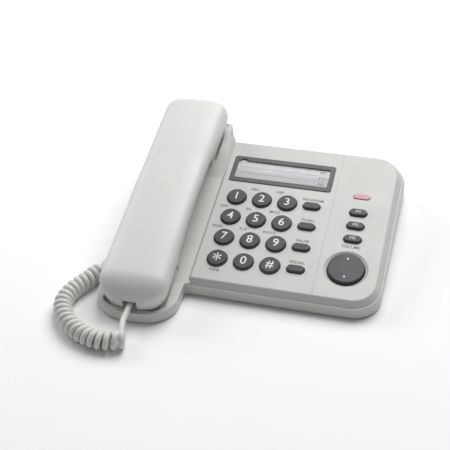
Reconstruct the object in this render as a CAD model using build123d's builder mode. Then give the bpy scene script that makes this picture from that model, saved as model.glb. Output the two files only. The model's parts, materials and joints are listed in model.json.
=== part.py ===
"""Corded desk telephone: a wedge base with keypad, a handset lying in a cradle, and a curly handset cord.

The frame has +X to the right, +Y to the back and +Z up. Its origin is the middle of the base's
footprint, on the table. Places on the sloping keypad panel are given as (u, v, w): to the right of the
star key, up the slope from it, and out of the panel's face.
"""

import os
from math import atan, cos, degrees, radians, sin, tan

from build123d import *

os.makedirs("parts", exist_ok=True)

# ------------------------------------------------------------------------------- driving dimensions
TILT = 11.5                 # slope of the keypad panel
BASE_W = 193.0              # whole base, left to right
BASE_D = 195.2              # whole base, front of the cradle to the back wall
CRADLE_W = 58.0             # handset side of the base
CRADLE_STEP = 35.4          # how far the cradle stands out in front of the keypad body
BOW = 7.6                   # bulge of the cradle's front
FRONT_R = 20.0              # corners of the cradle's front, in plan
CORNER_R = 20.0             # right corners of the base, in plan
BACK_R = 14.0               # left rear corner
BACK_SLOPE_R = 22.0         # rounding from the back slope into the right wall
FOOT_H = 1.2                # rubber feet below the bottom cover
FLOOR = 2.2                 # thickness of the bottom cover's floor
WALL = 2.2                  # thickness of the side walls
BACK_WALL_TOP = 19.0        # height of the upright back wall
BACK_SLOPE_RUN = 26.0       # depth of the slope above it
LEDGE = 0.8                 # step where the panel's chamfer meets the wall
PLATE_H = 4.6               # height of the panel above that ledge
PLATE_TAPER = 38.0          # chamfer round the panel, from upright
SKIN = 2.2                  # thickness of the panel
SLOPE_DROP = 0.5            # the back slope lies this far below the plate's own edge
STRIP_U, STRIP_GROOVE = 71.1, 0.35      # groove between the dial field and the right-hand strip
STAR_X, STAR_Y, STAR_Z = -20.5, -39.9, 18.0     # centre of the star key on the panel's face

KEY_PITCH_U = 19.0
KEY_PITCH_V = 19.42
KEY_R = 7.3                 # keycap at the panel's face
KEY_TOP_R = 6.5
KEY_H = 1.95                # keycap above the panel
KEY_GAP = 0.3               # clearance round each cap
KEY_TRAVEL = 1.2
PILL_L, PILL_W = 13.0, 6.6  # function and memory keys
FUNCTION_U = 56.2
MEMORY_U = 90.4
MEMORY_V = (57.7, 45.35, 33.0)
LAMP_V = 73.4
VOLUME_V = 6.5
VOLUME_R = 12.9
DISH_R = 15.6
AXLE_R, AXLE_W = 1.0, -4.6
ROCKER_STEM_V = 8.5
FRAME_U, FRAME_V = 28.3, 86.8       # centre of the card window
FRAME_L, FRAME_W = 77.6, 25.8
CARD_L, CARD_W = 70.8, 17.6

HANDSET_X = -67.5
HANDSET_HALF = 25.0         # half the handset's width at its ends
WAIST_HALF = 23.6           # and at the grip
HANDSET_V0, HANDSET_V1 = -54.5, 138.6
HANDSET_TOP = 26.6
HEAD_BOTTOM = -2.5          # underside of the ear and mouth ends
GRIP_BOTTOM = 7.0
SHELL = 2.2
WELL_GAP = 0.9
EAR_V, MOUTH_V = 117.0, -24.0       # centres of the receiver and the microphone
NOTCH_W, NOTCH_H = 10.0, 7.2        # opening for the cord in the handset's end
NOTCH_MID = 6.3                     # height of the notch's middle
JACK_FACE_V = -46.0                 # mouth of the handset's own socket
HANDSET_SCREW_V = (15.0, 69.0)

PLUG_W, PLUG_H, PLUG_L = 7.6, 6.5, 12.0     # four-way modular plug
SOCKET_GAP = 0.15
PLUG_IN = 9.0                       # plug inside its socket
BASE_JACK_Y, BASE_JACK_Z = -37.3, 7.9
POCKET_X, POCKET_Y0, POCKET_Y1 = 8.0, -56.0, -30.0      # recess in the left wall for that plug
LINE_JACK_X = 35.0
SWITCH_X = {"dial_mode": 52.0, "ringer": 67.0}    # slide switches in the back wall
SWITCH_Z = 9.5
SWITCH_TRAVEL = 2.0
RINGER_X, RINGER_Y, RINGER_R = 30.0, 35.0, 13.5
HOOK_V = 103.0
HOOK_SWITCH_BOTTOM, HOOK_SWITCH_TOP = -24.0, -14.2
BOARD_TOP = -7.2                    # upper face of the circuit board
BOARD_T = 1.6
MAT_T = 0.8
DOME_TOP = -5.2
BASE_SCREWS = ((-32.2, -51.0), (88.0, -51.0), (-32.2, 60.0), (88.0, 60.0))
BOARD_SCREWS = ((9.5, 9.7), (28.5, 48.5), (73.0, 24.0), (73.0, 70.0))
FEET = ((-67.5, -82.0), (76.0, -50.0), (-82.0, 83.0), (80.0, 80.0))
BOSS_TOP = 8.0                      # top of the bottom cover's screw bosses
SCREW_END = 12.4                    # tip of the cover's screws
CAP_TOP = 0.6                       # card frame above the panel
CARD_RECESS = -0.9                  # underside of the card and its frame

CORD_D = 4.2
COIL_D = 13.4
COIL_Z = COIL_D / 2 + 0.1

# ------------------------------------------------------------------------------- places worked out
LEFT, RIGHT = -BASE_W / 2, BASE_W / 2
FRONT, BACK = -BASE_D / 2, BASE_D / 2
KEY_FRONT = FRONT + CRADLE_STEP
CRADLE_R = LEFT + CRADLE_W
FLOOR_TOP = FOOT_H + FLOOR
SLOPE = tan(radians(TILT))
PANEL = Plane(
    origin=(STAR_X, STAR_Y, STAR_Z),
    x_dir=(1, 0, 0),
    z_dir=(0, -sin(radians(TILT)), cos(radians(TILT))),
)


def at_panel(u=0.0, v=0.0, w=0.0):
    """A plane parallel to the keypad panel, with its origin at (u, v, w)."""
    return Plane(origin=PANEL.from_local_coords((u, v, w)), x_dir=PANEL.x_dir, z_dir=PANEL.z_dir)


def along_panel(x):
    """An upright plane at X = x whose own axes are the panel's v and w."""
    foot = PANEL.from_local_coords((x - STAR_X, 0, 0))
    return Plane(origin=foot, x_dir=PANEL.y_dir, z_dir=(1, 0, 0))


def across_panel(v):
    """A plane square to the panel's slope at v, with axes u (leftward flipped) and w."""
    foot = PANEL.from_local_coords((HANDSET_X - STAR_X, v, 0))
    return Plane(origin=foot, x_dir=(1, 0, 0), z_dir=-PANEL.y_dir)


def upright(x):
    """The plane X = x with axes Y and Z."""
    return Plane(origin=(x, 0, 0), x_dir=(0, 1, 0), z_dir=(1, 0, 0))


def panel_z(y, w):
    """Height of the plane w above the panel, over the place y."""
    return STAR_Z + (y - STAR_Y) * SLOPE + w / cos(radians(TILT))


def finish(builder, name):
    """Label a finished piece and write it out."""
    builder.part.label = name
    export_step(builder.part, f"parts/{name}.step")


UPWARDS = Axis(PANEL.origin, PANEL.z_dir)
BACK_EDGE_Y = BACK - BACK_SLOPE_RUN
BACK_SLOPE = (panel_z(BACK_EDGE_Y, 0) - BACK_WALL_TOP) / BACK_SLOPE_RUN
BACK_SKIN = SKIN / cos(atan(BACK_SLOPE))        # the slope's thickness, measured upright
HANDSET_U = HANDSET_X - STAR_X


# ------------------------------------------------------------------------------- shared profiles
def base_outline(inset=0.0):
    """Footprint of the base: the keypad body with the cradle standing out at the front left."""
    bow_y = FRONT + BOW
    with BuildSketch(mode=Mode.PRIVATE) as outline:
        with BuildLine():
            Polyline((LEFT, bow_y), (LEFT, BACK), (RIGHT, BACK), (RIGHT, KEY_FRONT),
                     (CRADLE_R, KEY_FRONT), (CRADLE_R, bow_y))
            ThreePointArc((CRADLE_R, bow_y), (LEFT + CRADLE_W / 2, FRONT), (LEFT, bow_y))
        make_face()
        points = outline.vertices()
        fillet(points.group_by(Axis.X)[-1], CORNER_R)
        fillet(outline.vertices().filter_by(lambda p: abs(p.Y - bow_y) < 0.01), FRONT_R)
        fillet(outline.vertices().filter_by(lambda p: abs(p.X - LEFT) < 0.01 and p.Y > BACK - 1), BACK_R)
        fillet(outline.vertices().filter_by(
            lambda p: abs(p.X - CRADLE_R) < 0.01 and abs(p.Y - KEY_FRONT) < 0.01), 2.0)
        if inset:
            offset(amount=-inset, kind=Kind.ARC)
    return outline.sketch


def seam_points():
    """The seam between the two covers, in side view, from the front to the back wall."""
    low_y = STAR_Y + (FLOOR_TOP - STAR_Z + PLATE_H / cos(radians(TILT))) / SLOPE
    back_z = BACK_WALL_TOP - BACK_SKIN
    meet_y = BACK + (back_z - panel_z(BACK, -PLATE_H)) / (BACK_SLOPE + SLOPE)
    return [(FRONT - 1, FLOOR_TOP), (low_y, FLOOR_TOP), (meet_y, panel_z(meet_y, -PLATE_H)),
            (BACK + 1, back_z - BACK_SLOPE)]


def side_sketch(points):
    """A closed side view from its corners, in Y and Z."""
    with BuildSketch(mode=Mode.PRIVATE) as view:
        with BuildLine():
            Polyline(*points, close=True)
        make_face()
    return view.sketch


def pill(length, width):
    """A key's stadium shape."""
    with BuildSketch(mode=Mode.PRIVATE) as shape:
        SlotOverall(length, width)
    return shape.sketch


def handset_outline(extra=0.0):
    """The handset seen square to the panel: rounded ends and a slightly slimmer grip."""
    left, right = HANDSET_U - HANDSET_HALF - extra, HANDSET_U + HANDSET_HALF + extra
    v0, v1 = HANDSET_V0 - extra, HANDSET_V1 + extra
    middle = (v0 + v1) / 2
    with BuildSketch(mode=Mode.PRIVATE) as outline:
        with BuildLine():
            ThreePointArc((left, v0 + 5), (HANDSET_U, v0), (right, v0 + 5))
            ThreePointArc((right, v0 + 5), (HANDSET_U + WAIST_HALF + extra, middle), (right, v1 - 4))
            ThreePointArc((right, v1 - 4), (HANDSET_U, v1), (left, v1 - 4))
            ThreePointArc((left, v1 - 4), (HANDSET_U - WAIST_HALF - extra, middle), (left, v0 + 5))
        make_face()
        fillet(outline.vertices(), 15.0 + extra)
    return outline.sketch


def handset_side(extra=0.0):
    """Side view of the handset, with v along it and w out of the panel."""
    with BuildSketch(mode=Mode.PRIVATE) as side:
        with BuildLine():
            ThreePointArc((-37.0, 22.8), (45.0, HANDSET_TOP), (127.0, 25.4))
            Polyline((127.0, 25.4), (136.6, 20.0), (HANDSET_V1, 10.0), (136.5, HEAD_BOTTOM),
                     (99.0, HEAD_BOTTOM), (77.0, GRIP_BOTTOM), (7.0, GRIP_BOTTOM),
                     (-13.0, HEAD_BOTTOM), (-51.5, HEAD_BOTTOM), (HANDSET_V0, 6.0), (-49.0, 16.5),
                     (-37.0, 22.8))
        make_face()
        corners = side.vertices()
        fillet(corners.group_by(Axis.X)[0], 5.0)
        top_ends = side.vertices().filter_by(lambda p: p.Y > 14 and (p.X < -30 or p.X > 120))
        fillet(top_ends, 6.0)
        fillet(side.vertices().filter_by(lambda p: abs(p.Y - GRIP_BOTTOM) < 0.01), 14.0)
        if extra:
            offset(amount=extra)
    return side.sketch


def handset_section(extra=0.0):
    """Cross-section of the handset: crowned top, widest above the middle, sides leaning in below."""
    with BuildSketch(mode=Mode.PRIVATE) as section:
        with BuildLine():
            ThreePointArc((-HANDSET_HALF, 23.2), (0, HANDSET_TOP + 0.4), (HANDSET_HALF, 23.2))
            Polyline((HANDSET_HALF, 23.2), (HANDSET_HALF, 14.0), (20.6, HEAD_BOTTOM - 0.5),
                     (-20.6, HEAD_BOTTOM - 0.5), (-HANDSET_HALF, 14.0), (-HANDSET_HALF, 23.2))
        make_face()
        fillet(section.vertices().group_by(Axis.Y)[-1], 8.5)
        fillet(section.vertices().filter_by(lambda p: abs(p.Y - 14.0) < 0.01), 8.0)
        if extra:
            offset(amount=extra)
    return section.sketch


def handset_body(extra=0.0):
    """The handset as one solid, grown or shrunk by extra."""
    with BuildPart(mode=Mode.PRIVATE) as body:
        with BuildSketch(along_panel(HANDSET_X - 40)):
            add(handset_side(extra))
        extrude(amount=80)
        with BuildSketch(at_panel(w=-20)):
            add(handset_outline(extra))
        extrude(amount=80, mode=Mode.INTERSECT)
        with BuildSketch(across_panel(-80)):
            add(handset_section(extra))
        extrude(amount=-260, mode=Mode.INTERSECT)
    return body.part


# ------------------------------------------------------------------------------- helper solids
left_u = CRADLE_R - STAR_X
right_u = RIGHT - LEDGE - STAR_X
front_v = (KEY_FRONT + LEDGE - STAR_Y) / cos(radians(TILT)) - PLATE_H * SLOPE
top_back_v = (BACK_EDGE_Y - STAR_Y) / cos(radians(TILT))
back_v = top_back_v + PLATE_H * tan(radians(PLATE_TAPER))


def plate_foot(inset=0.0):
    """Foot of the keypad plate, at the seam."""
    with BuildSketch(mode=Mode.PRIVATE) as foot:
        with Locations(((left_u + right_u) / 2, (front_v + back_v) / 2)):
            Rectangle(right_u - left_u - 2 * inset, back_v - front_v - 2 * inset)
        fillet(foot.vertices().group_by(Axis.X)[-1].group_by(Axis.Y)[0], CORNER_R - LEDGE - inset)
        fillet(foot.vertices().group_by(Axis.X)[-1].group_by(Axis.Y)[-1], BACK_SLOPE_R - inset)
        fillet(foot.vertices().group_by(Axis.X)[0], 4.5)
    return foot.sketch


def housing_prism(inset=0.0):
    """The base's outline drawn up, rounded where the back slope turns into the right wall."""
    up_slope = Vector(0, -1, BACK_SLOPE).normalized()
    foot = Plane(origin=PANEL.origin - up_slope * 160, x_dir=PANEL.x_dir, z_dir=PANEL.z_dir)
    to_panel = radians(TILT) + atan(BACK_SLOPE)
    edge_u = RIGHT - STAR_X - inset + 0.05
    edge_v = top_back_v - inset / sin(to_panel)
    round_r = BACK_SLOPE_R + LEDGE - inset
    with BuildPart(mode=Mode.PRIVATE) as prism:
        with BuildSketch(Plane.XY):
            add(base_outline(inset))
        extrude(amount=90)
        with BuildSketch(foot):
            with Locations((edge_u - round_r, edge_v - round_r)):
                Rectangle(round_r + 30, round_r + 30, align=Align.MIN)
                Circle(round_r, mode=Mode.SUBTRACT)
        extrude(amount=320, dir=up_slope, mode=Mode.SUBTRACT)
    return prism.part


with BuildPart(mode=Mode.PRIVATE) as outline_prism:
    with BuildSketch():
        add(base_outline())
    extrude(amount=90)

# the tilted keypad plate
with BuildPart() as plate:
    with BuildSketch(at_panel(w=-PLATE_H)):
        add(plate_foot())
    extrude(amount=PLATE_H, taper=PLATE_TAPER)
    fillet(plate.faces().sort_by(UPWARDS)[-1].edges(), 1.5)

# the slope behind the panel
with BuildPart() as back_slope:
    add(housing_prism())
    with BuildSketch(upright(LEFT - 1)):
        add(side_sketch([seam_points()[2], seam_points()[3],
                         (BACK + 1, BACK_WALL_TOP - BACK_SLOPE - SLOPE_DROP),
                         (BACK_EDGE_Y, panel_z(BACK_EDGE_Y, 0) - SLOPE_DROP)]))
    extrude(amount=BASE_W + 2, mode=Mode.INTERSECT)

# the cradle, rising behind the earpiece into a hump whose right flank runs down to the panel
CRADLE_DECK = -2.2
HUMP_Y, HUMP_Z = 80.0, 46.6
HUMP_WALL = 2.0             # wall of the well round the end of the earpiece
with BuildPart() as cradle:
    add(outline_prism.part)
    with BuildSketch(upright(LEFT - 1)) as cradle_side:
        with BuildLine():
            Polyline(*seam_points(), (BACK + 1, HUMP_Z - 4.5), (HUMP_Y, HUMP_Z),
                     (58.0, panel_z(58.0, 2.2)), (36.0, panel_z(36.0, CRADLE_DECK)),
                     (KEY_FRONT, panel_z(KEY_FRONT, CRADLE_DECK)), (FRONT - 1, 8.9), close=True)
        make_face()
        fillet(cradle_side.vertices().sort_by(Axis.Y)[-2:], 14.0)
    extrude(amount=CRADLE_W + 1 + PLATE_H, mode=Mode.INTERSECT)
    flank_u = left_u + PLATE_H * tan(radians(PLATE_TAPER))
    with BuildSketch(across_panel(-100)):
        with BuildLine():
            Polyline((flank_u - HANDSET_U, 0), (flank_u - HANDSET_U - 40, 40),
                     (flank_u - HANDSET_U + 20, 40), (flank_u - HANDSET_U + 20, -40),
                     (flank_u - HANDSET_U, -40), close=True)
        make_face()
    extrude(amount=-300, mode=Mode.SUBTRACT)
    # behind the panel the flank runs back towards the earpiece and then round its end
    split(bisect_by=Plane(origin=(CRADLE_R + 3.3, BACK_EDGE_Y + 0.4, 0), z_dir=(0.93, 0.367, 0)), keep=Keep.BOTTOM)
    with BuildSketch(at_panel(w=-60)):
        with Locations((HANDSET_U, EAR_V)):
            Rectangle(40, 60, align=Align.MIN)
        add(handset_outline(WELL_GAP + HUMP_WALL), mode=Mode.SUBTRACT)
    extrude(amount=140, mode=Mode.SUBTRACT)

# =============================================================================== base housing
with BuildPart() as base_bottom:
    add(housing_prism())
    split(bisect_by=Plane.XY.offset(FOOT_H), keep=Keep.TOP)
    with BuildPart(mode=Mode.PRIVATE) as inside:
        add(housing_prism(WALL))
        split(bisect_by=Plane.XY.offset(FLOOR_TOP), keep=Keep.TOP)
    add(inside.part, mode=Mode.SUBTRACT)
    # walls of the recess for the handset cord's plug
    with BuildSketch(Plane.XY.offset(FOOT_H)):
        with Locations((LEFT + (POCKET_X + WALL) / 2, (POCKET_Y0 + POCKET_Y1) / 2)):
            Rectangle(POCKET_X + WALL, POCKET_Y1 - POCKET_Y0 + 2 * WALL)
    extrude(amount=50)
    # bosses for the cover's screws, and a post under the hook switch
    with BuildSketch(Plane.XY.offset(FLOOR_TOP)):
        with Locations(*BASE_SCREWS):
            Circle(3.6)
    extrude(amount=BOSS_TOP - FLOOR_TOP)
    with BuildSketch(at_panel(HANDSET_U, HOOK_V, HOOK_SWITCH_BOTTOM)):
        Rectangle(16, 9)
    extrude(amount=-13)
    with BuildSketch(upright(LEFT - 1)):
        add(side_sketch([(FRONT - 1, FOOT_H - 1), *seam_points(), (BACK + 1, FOOT_H - 1)]))
    extrude(amount=BASE_W + 2, mode=Mode.INTERSECT)
    with BuildSketch(Plane.XY):
        with Locations((LEFT + POCKET_X / 2 - 1, (POCKET_Y0 + POCKET_Y1) / 2)):
            Rectangle(POCKET_X + 2, POCKET_Y1 - POCKET_Y0)
    extrude(amount=40, mode=Mode.SUBTRACT)
    with Locations((LEFT + POCKET_X + WALL / 2, BASE_JACK_Y, BASE_JACK_Z)):
        Box(WALL + 1, PLUG_W + 1, PLUG_H + 1, mode=Mode.SUBTRACT)
    # feet, sound slots, sockets and switches
    with BuildSketch(Plane.XY.offset(FOOT_H)):
        with Locations(*FEET):
            Circle(6.2)
    extrude(amount=0.6, mode=Mode.SUBTRACT)
    with BuildSketch(Plane.XY):
        with Locations(*[(RINGER_X, RINGER_Y + 4.2 * i) for i in range(-2, 3)]):
            SlotOverall(20.0, 2.0)
    extrude(amount=FLOOR_TOP, mode=Mode.SUBTRACT)
    with BuildSketch(Plane.XY):
        with Locations(*BASE_SCREWS):
            Circle(3.0)
    extrude(amount=FOOT_H + 2.6, mode=Mode.SUBTRACT)
    with BuildSketch(Plane.XY):
        with Locations(*BASE_SCREWS):
            Circle(1.6)
    extrude(amount=20, mode=Mode.SUBTRACT)
    with Locations((LINE_JACK_X, BACK, FLOOR_TOP + 5.9)):
        Box(14.0, 12.0, 12.0, mode=Mode.SUBTRACT)
    with Locations(*[(x, BACK, SWITCH_Z) for x in SWITCH_X.values()]):
        Box(8.4, 12.0, 3.8, mode=Mode.SUBTRACT)
finish(base_bottom, "base_bottom")

KEYS = {
    "key_1": (0, 3), "key_2": (1, 3), "key_3": (2, 3),
    "key_4": (0, 2), "key_5": (1, 2), "key_6": (2, 2),
    "key_7": (0, 1), "key_8": (1, 1), "key_9": (2, 1),
    "key_star": (0, 0), "key_0": (1, 0), "key_hash": (2, 0),
}
KEY_PLACES = {name: (i * KEY_PITCH_U, j * KEY_PITCH_V) for name, (i, j) in KEYS.items()}
PILL_NAMES = ("redial_key", "pause_key", "flash_key", "program_key")
PILL_PLACES = {name: (FUNCTION_U, j * KEY_PITCH_V) for j, name in enumerate(PILL_NAMES)}
PILL_PLACES |= {f"memory_key_{n + 1}": (MEMORY_U, v) for n, v in enumerate(MEMORY_V)}

with BuildPart() as base_top:
    add(plate.part)
    with BuildSketch(at_panel(w=-PLATE_H)):
        add(plate_foot(2.6))
    extrude(amount=PLATE_H - SKIN, taper=PLATE_TAPER, mode=Mode.SUBTRACT)
    add(back_slope.part)
    add(cradle.part)
    add(handset_body(WELL_GAP), mode=Mode.SUBTRACT)
    # posts that carry the circuit board and the rocker, and take the screws
    with BuildSketch(at_panel(w=BOARD_TOP)):
        with Locations(*BOARD_SCREWS):
            Circle(2.4)
    extrude(amount=-BOARD_TOP - SKIN + 0.2)
    for x, y in BASE_SCREWS:
        with BuildSketch(Plane.XY.offset(BOSS_TOP)):
            with Locations((x, y)):
                Circle(3.2)
        extrude(amount=panel_z(y, -SKIN) + 0.2 - BOSS_TOP)
    with Locations(*[at_panel(MEMORY_U + side * (VOLUME_R + 3.0), VOLUME_V, -SKIN - 2.0).location
                     for side in (-1, 1)]):
        Box(3.0, 5.0, 4.4)
    # groove, card window recess, key holes, lamp hole and the rocker's dish
    with Locations(at_panel(STRIP_U, (front_v + back_v) / 2).location):
        Box(STRIP_GROOVE, back_v - front_v - 6, 2 * STRIP_GROOVE, mode=Mode.SUBTRACT)
    with BuildSketch(at_panel(w=CARD_RECESS)):
        with Locations((FRAME_U, FRAME_V)):
            RectangleRounded(FRAME_L + 0.2, FRAME_W + 0.2, 2.1)
    extrude(amount=4, mode=Mode.SUBTRACT)
    with BuildSketch(at_panel(w=-SKIN - 1)):
        with Locations(*KEY_PLACES.values()):
            Circle(KEY_R + KEY_GAP)
        for place in PILL_PLACES.values():
            with Locations(place):
                SlotOverall(PILL_L + 2 * KEY_GAP, PILL_W + 2 * KEY_GAP)
        with Locations((MEMORY_U, LAMP_V)):
            SlotOverall(12.6, 4.8)
        with Locations((MEMORY_U, VOLUME_V)):
            Circle(VOLUME_R + 0.6)
    extrude(amount=6, mode=Mode.SUBTRACT)
    with BuildSketch(at_panel(MEMORY_U, VOLUME_V)):
        Circle(DISH_R)
    extrude(amount=-1.0, taper=60, mode=Mode.SUBTRACT)
    # pilot holes for the screws, and holes for the rocker's axle
    with BuildSketch(at_panel(w=BOARD_TOP)):
        with Locations(*BOARD_SCREWS):
            Circle(0.9)
    extrude(amount=3.4, mode=Mode.SUBTRACT)
    with BuildSketch(Plane.XY.offset(BOSS_TOP)):
        with Locations(*BASE_SCREWS):
            Circle(1.1)
    extrude(amount=SCREW_END - BOSS_TOP + 0.4, mode=Mode.SUBTRACT)
    with BuildSketch(along_panel(STAR_X + MEMORY_U - 20)):
        with Locations((VOLUME_V, AXLE_W)):
            Circle(AXLE_R + 0.05)
    extrude(amount=40, mode=Mode.SUBTRACT)
    # hole for the hook plunger through the cradle's floor
    with Locations(at_panel(HANDSET_U, HOOK_V, -5).location):
        Box(8.6, 5.6, 12, mode=Mode.SUBTRACT)
finish(base_top, "base_top")

# =============================================================================== keys and rocker
def make_key(name, place, cap, flange, top_inset):
    """One key: a cap through the panel, a flange that stops it under the panel, and a short stem."""
    u, v = place
    with BuildPart() as key:
        with BuildSketch(at_panel(u, v, -SKIN - 1.7)):
            Circle(3.0)
        extrude(amount=0.5)
        with BuildSketch(at_panel(u, v, -SKIN - 1.2)):
            add(flange)
        extrude(amount=1.0)
        with BuildSketch(at_panel(u, v, -SKIN - 0.2)):
            add(cap)
        extrude(amount=SKIN + 0.2)
        with BuildSketch(at_panel(u, v)):
            add(cap)
        extrude(amount=KEY_H, taper=degrees(atan(top_inset / KEY_H)))
        fillet(key.faces().sort_by(UPWARDS)[-1].edges(), 0.5)
    finish(key, name)


with BuildSketch() as round_cap:
    Circle(KEY_R)
with BuildSketch() as round_flange:
    Circle(KEY_R + 1.2)
for name, place in KEY_PLACES.items():
    make_key(name, place, round_cap.sketch, round_flange.sketch, KEY_R - KEY_TOP_R)
for name, place in PILL_PLACES.items():
    make_key(name, place, pill(PILL_L, PILL_W), pill(PILL_L + 2, PILL_W + 2), 0.6)

with BuildPart() as volume_rocker:
    with BuildSketch(at_panel(MEMORY_U, VOLUME_V, -3.0)):
        Circle(VOLUME_R)
    extrude(amount=4.5)
    fillet(volume_rocker.faces().sort_by(UPWARDS)[-1].edges(), 1.0)
    with BuildSketch(at_panel(MEMORY_U, VOLUME_V, -5.6)):
        Rectangle(22, 6)
    extrude(amount=2.6)
    with BuildSketch(at_panel(MEMORY_U, VOLUME_V, -4.4)):
        with Locations((0, ROCKER_STEM_V), (0, -ROCKER_STEM_V)):
            Circle(1.6)
    extrude(amount=1.4)
    with BuildSketch(along_panel(STAR_X + MEMORY_U - VOLUME_R - 4.3)):
        with Locations((VOLUME_V, AXLE_W)):
            Circle(AXLE_R)
    extrude(amount=2 * (VOLUME_R + 4.3))
finish(volume_rocker, "volume_rocker")

with BuildPart() as keypad_mat:
    with BuildSketch(at_panel(w=BOARD_TOP)):
        with Locations((-9.5, -9.5)):
            Rectangle(109.5, 75.5, align=Align.MIN)
        with Locations(*BOARD_SCREWS):
            Circle(3.0, mode=Mode.SUBTRACT)
    extrude(amount=MAT_T)
    with BuildSketch(at_panel(w=BOARD_TOP + MAT_T)):
        with Locations(*KEY_PLACES.values()):
            Circle(4.4)
        with Locations(*PILL_PLACES.values()):
            Circle(3.6)
        with Locations((MEMORY_U, VOLUME_V + ROCKER_STEM_V), (MEMORY_U, VOLUME_V - ROCKER_STEM_V)):
            Circle(3.0)
    extrude(amount=DOME_TOP - BOARD_TOP - MAT_T, taper=30)
finish(keypad_mat, "keypad_mat")

with BuildPart() as main_board:
    with BuildSketch(at_panel(w=BOARD_TOP - BOARD_T)):
        with Locations((-8, -12)):
            Rectangle(112, 112, align=Align.MIN)
        with Locations(*BOARD_SCREWS):
            Circle(1.3, mode=Mode.SUBTRACT)
    extrude(amount=BOARD_T)
finish(main_board, "main_board")

with BuildPart() as board_screws:
    with BuildSketch(at_panel(w=BOARD_TOP - BOARD_T - 1.6)):
        with Locations(*BOARD_SCREWS):
            Circle(2.0)
    extrude(amount=1.6)
    with BuildSketch(at_panel(w=BOARD_TOP - BOARD_T)):
        with Locations(*BOARD_SCREWS):
            Circle(1.1)
    extrude(amount=BOARD_T + 3.0)
finish(board_screws, "board_screws")

with BuildPart() as base_screws:
    with BuildSketch(Plane.XY.offset(FOOT_H + 0.6)):
        with Locations(*BASE_SCREWS):
            Circle(2.8)
    extrude(amount=2.0)
    with BuildSketch(Plane.XY.offset(FOOT_H + 2.6)):
        with Locations(*BASE_SCREWS):
            Circle(1.3)
    extrude(amount=SCREW_END - FOOT_H - 2.6)
finish(base_screws, "base_screws")

# =============================================================================== lamp and card window
with BuildPart() as lamp_lens:
    with BuildSketch(at_panel(MEMORY_U, LAMP_V, -SKIN - 0.8)):
        SlotOverall(14.4, 6.4)
    extrude(amount=0.8)
    with BuildSketch(at_panel(MEMORY_U, LAMP_V, -SKIN)):
        SlotOverall(12.3, 4.5)
    extrude(amount=SKIN + 0.7)
    fillet(lamp_lens.faces().sort_by(UPWARDS)[-1].edges(), 0.4)
finish(lamp_lens, "lamp_lens")

with BuildPart() as lamp_led:
    with BuildSketch(at_panel(MEMORY_U, LAMP_V, BOARD_TOP)):
        Circle(1.5)
    extrude(amount=1.8)
    fillet(lamp_led.faces().sort_by(UPWARDS)[-1].edges(), 0.9)
finish(lamp_led, "lamp_led")

with BuildPart() as card_frame:
    with BuildSketch(at_panel(FRAME_U, FRAME_V, CARD_RECESS)):
        RectangleRounded(FRAME_L, FRAME_W, 2.0)
    extrude(amount=CAP_TOP - CARD_RECESS)
    chamfer(card_frame.faces().sort_by(UPWARDS)[-1].edges(), 0.35)
    with BuildSketch(at_panel(FRAME_U, FRAME_V, CARD_RECESS)):
        RectangleRounded(CARD_L + 1.8, CARD_W + 1.8, 1.0)
    extrude(amount=0.8, mode=Mode.SUBTRACT)
    with BuildSketch(at_panel(FRAME_U, FRAME_V, CARD_RECESS)):
        RectangleRounded(CARD_L, CARD_W, 1.0)
        with Locations((-FRAME_L / 2 + 7.5, CARD_W / 2)):
            SlotOverall(5.0, 3.0)
    extrude(amount=4, mode=Mode.SUBTRACT)
finish(card_frame, "card_frame")

with BuildPart() as index_card:
    with BuildSketch(at_panel(FRAME_U, FRAME_V, CARD_RECESS)):
        Rectangle(CARD_L + 1.2, CARD_W + 1.2)
    extrude(amount=0.3)
finish(index_card, "index_card")

with BuildPart() as card_cover:
    with BuildSketch(at_panel(FRAME_U, FRAME_V, CARD_RECESS + 0.3)):
        RectangleRounded(CARD_L + 1.4, CARD_W + 1.4, 0.8)
    extrude(amount=0.5)
finish(card_cover, "card_cover")

# =============================================================================== hook
with BuildPart() as hook_plunger:
    with BuildSketch(at_panel(HANDSET_U, HOOK_V, HOOK_SWITCH_TOP + 0.3)):
        Rectangle(7.8, 4.8)
    extrude(amount=HEAD_BOTTOM - 0.3 - HOOK_SWITCH_TOP - 0.3)
    fillet(hook_plunger.faces().sort_by(UPWARDS)[-1].edges(), 1.0)
    with BuildSketch(at_panel(HANDSET_U, HOOK_V, -10.6)):
        Rectangle(11, 8)
    extrude(amount=1.5)
finish(hook_plunger, "hook_plunger")

with BuildPart() as hook_switch:
    with BuildSketch(at_panel(HANDSET_U, HOOK_V, HOOK_SWITCH_BOTTOM)):
        Rectangle(20, 12)
    extrude(amount=HOOK_SWITCH_TOP - HOOK_SWITCH_BOTTOM)
finish(hook_switch, "hook_switch")

# =============================================================================== sockets, switches, feet
JACK_FACE_X = LEFT + POCKET_X + WALL
with BuildPart() as base_jack:
    with Locations((JACK_FACE_X, BASE_JACK_Y, FLOOR_TOP)):
        Box(13.0, 12.0, 9.0, align=(Align.MIN, Align.CENTER, Align.MIN))
    with Locations((JACK_FACE_X, BASE_JACK_Y, BASE_JACK_Z)):
        Box(10.0, PLUG_W + 2 * SOCKET_GAP, PLUG_H + 2 * SOCKET_GAP,
            align=(Align.MIN, Align.CENTER, Align.CENTER), mode=Mode.SUBTRACT)
finish(base_jack, "base_jack")

with BuildPart() as base_plug:
    with Locations((JACK_FACE_X + PLUG_IN, BASE_JACK_Y, BASE_JACK_Z)):
        Box(PLUG_L, PLUG_W, PLUG_H, align=(Align.MAX, Align.CENTER, Align.CENTER))
finish(base_plug, "base_plug")

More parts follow.
